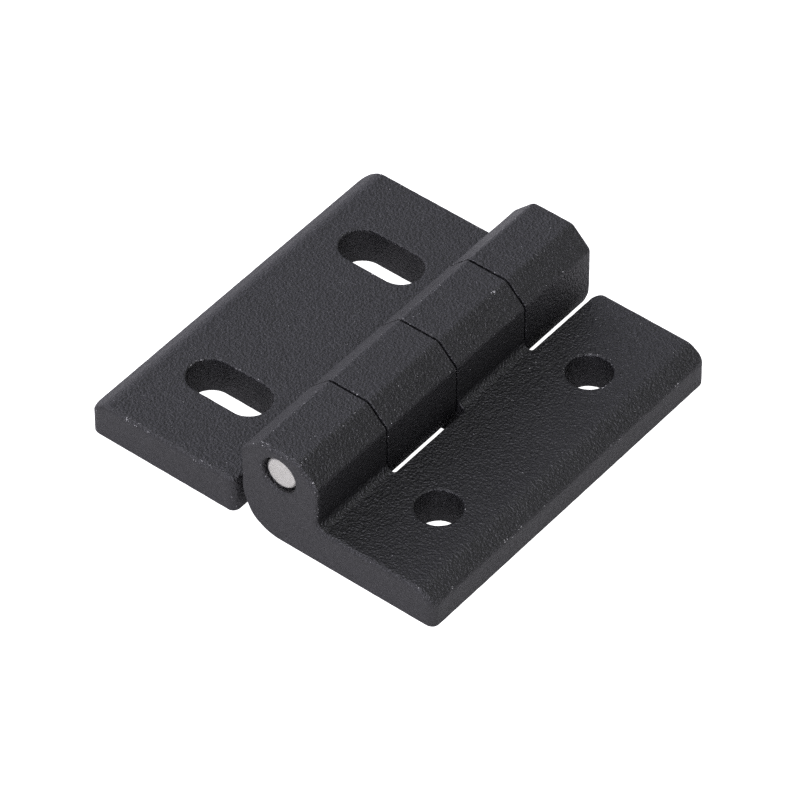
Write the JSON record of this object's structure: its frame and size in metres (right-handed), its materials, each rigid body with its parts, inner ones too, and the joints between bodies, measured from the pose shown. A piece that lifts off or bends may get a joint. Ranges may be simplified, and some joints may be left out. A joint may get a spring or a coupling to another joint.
{
  "type": "block hinge",
  "caption": "Square block hinge with interleaved knuckles on one pin; one leaf has round screw holes, the other has slots for adjustment.",
  "frame": {"origin": "middle of the square footprint, on the flat mounting plane under both leaves", "axes": "+Z out of the mounting plane; +Y along the hinge pin, away from the end whose knuckle belongs to the drilled leaf; +X towards the drilled leaf's outer edge"},
  "size_m": [0.06, 0.06, 0.0167],
  "materials": {
    "coating": "matte",
    "pin_steel": "satin"
  },
  "bodies": {
    "drilled_side": {"drilled_leaf": "coating", "hinge_pin": "pin_steel"},
    "slotted_side": {"slotted_leaf": "coating"}
  },
  "joints": [
    {"name": "leaf_swing", "type": "hinge", "parent": "drilled_side", "child": "slotted_side", "pos_m": [0.0035, 0, 0.0123], "axis": [0, 1, 0], "range_deg": [-13, 208]}
  ]
}
